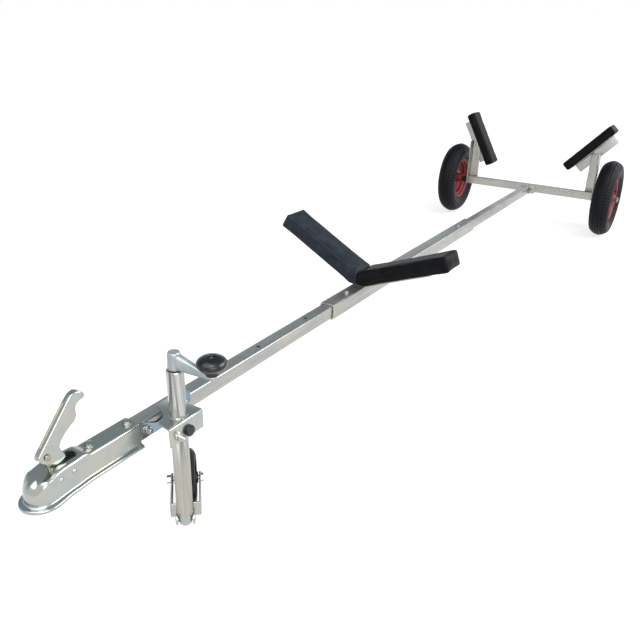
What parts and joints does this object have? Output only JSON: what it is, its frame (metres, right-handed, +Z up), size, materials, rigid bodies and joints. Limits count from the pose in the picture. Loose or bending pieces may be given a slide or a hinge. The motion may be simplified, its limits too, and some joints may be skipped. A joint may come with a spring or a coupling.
{
  "type": "boat launching trailer",
  "caption": "Light single-axle boat launching trailer with a telescoping drawbar, ball coupling, jockey-wheel jack, V cradle and tilted rear pads.",
  "frame": {"origin": "on the ground at the middle of the trailer's overall length and width, as it stands parked on its jockey wheel", "axes": "+X forward to the coupling, +Y to the trailer's left, +Z up"},
  "size_m": [3.4807, 0.98, 0.5866],
  "materials": {
    "galvanised": "hot-dip galvanised steel",
    "zinc": "bright zinc-plated steel",
    "cast_grey": "silver-grey die casting",
    "tyre": "black ribbed rubber",
    "rim_red": "dark red gloss paint",
    "pad": "black vinyl over foam",
    "black_plastic": "glossy black plastic"
  },
  "bodies": {
    "chassis": {"axle_beam": "galvanised", "stub_axles": "zinc", "axle_collars": "black_plastic", "post_left": "galvanised", "post_right": "galvanised", "pad_bracket_left": "galvanised", "pad_bracket_right": "galvanised", "post_bolts": "zinc", "rear_pad_left": "pad", "rear_pad_right": "pad", "drawbar_rear": "galvanised", "drawbar_end_plate": "galvanised", "end_plate_bolts": "zinc", "drawbar_sleeve": "galvanised", "sleeve_bolts": "zinc", "drawbar_front": "galvanised", "cradle_plate": "galvanised", "cradle_bolt": "zinc", "cradle_pad_left": "pad", "cradle_pad_right": "pad", "coupling_body": "zinc", "coupling_bolts": "zinc", "lever_pin": "zinc", "jack_mount_plate": "zinc", "jack_mount_bolts": "zinc", "jack_housing": "zinc", "jack_outer_tube": "zinc", "lock_plunger": "zinc", "lock_knob": "black_plastic"},
    "coupling_lever": {"coupling_lever": "zinc"},
    "crank": {"jack_crank": "cast_grey", "crank_knob": "black_plastic"},
    "leg": {"jack_leg": "zinc"},
    "foot": {"jack_foot": "zinc", "fork_pin": "zinc"},
    "fork": {"jack_fork": "zinc", "jockey_bolt": "zinc"},
    "jockey_wheel": {"jockey_tyre": "tyre", "jockey_hub": "black_plastic"},
    "wheel_left": {"tyre_left": "tyre", "rim_left": "rim_red", "hub_left": "rim_red"},
    "wheel_right": {"tyre_right": "tyre", "rim_right": "rim_red", "hub_right": "rim_red"}
  },
  "joints": [
    {"name": "wheel_left_spin", "type": "hinge", "parent": "chassis", "child": "wheel_left", "pos_m": [-1.54037, 0.43, 0.2], "axis": [0, 1, 0], "continuous": true},
    {"name": "wheel_right_spin", "type": "hinge", "parent": "chassis", "child": "wheel_right", "pos_m": [-1.54037, -0.43, 0.2], "axis": [0, 1, 0], "continuous": true},
    {"name": "coupling_lever_turn", "type": "hinge", "parent": "chassis", "child": "coupling_lever", "pos_m": [1.67468, 0, 0.34713], "axis": [0, 1, 0], "range_deg": [-15, 30]},
    {"name": "crank_turn", "type": "hinge", "parent": "chassis", "child": "crank", "pos_m": [1.40631, 0.0925, 0.45724], "axis": [-0.0296, 0, 0.9996], "range_deg": [0, 4500]},
    {"name": "leg_slide", "type": "slide", "parent": "chassis", "child": "leg", "axis": [0.0296, 0, -0.9996], "range_m": [0, 0.15001]},
    {"name": "foot_swivel", "type": "hinge", "parent": "leg", "child": "foot", "pos_m": [1.41852, 0.0925, 0.04442], "axis": [-0.0296, 0, 0.9996], "continuous": true},
    {"name": "fork_fold", "type": "hinge", "parent": "foot", "child": "fork", "pos_m": [1.41852, 0.0925, 0.04442], "axis": [0.6558, -0.7547, 0.0194], "range_deg": [0, 80]},
    {"name": "jockey_spin", "type": "hinge", "parent": "fork", "child": "jockey_wheel", "pos_m": [1.33607, 0.02165, 0.075], "axis": [0.6558, -0.7547, 0.0194], "continuous": true}
  ],
  "couplings": [
    {"joint": "leg_slide", "follows": "crank_turn", "m_per_rad": 0.0019099}
  ]
}
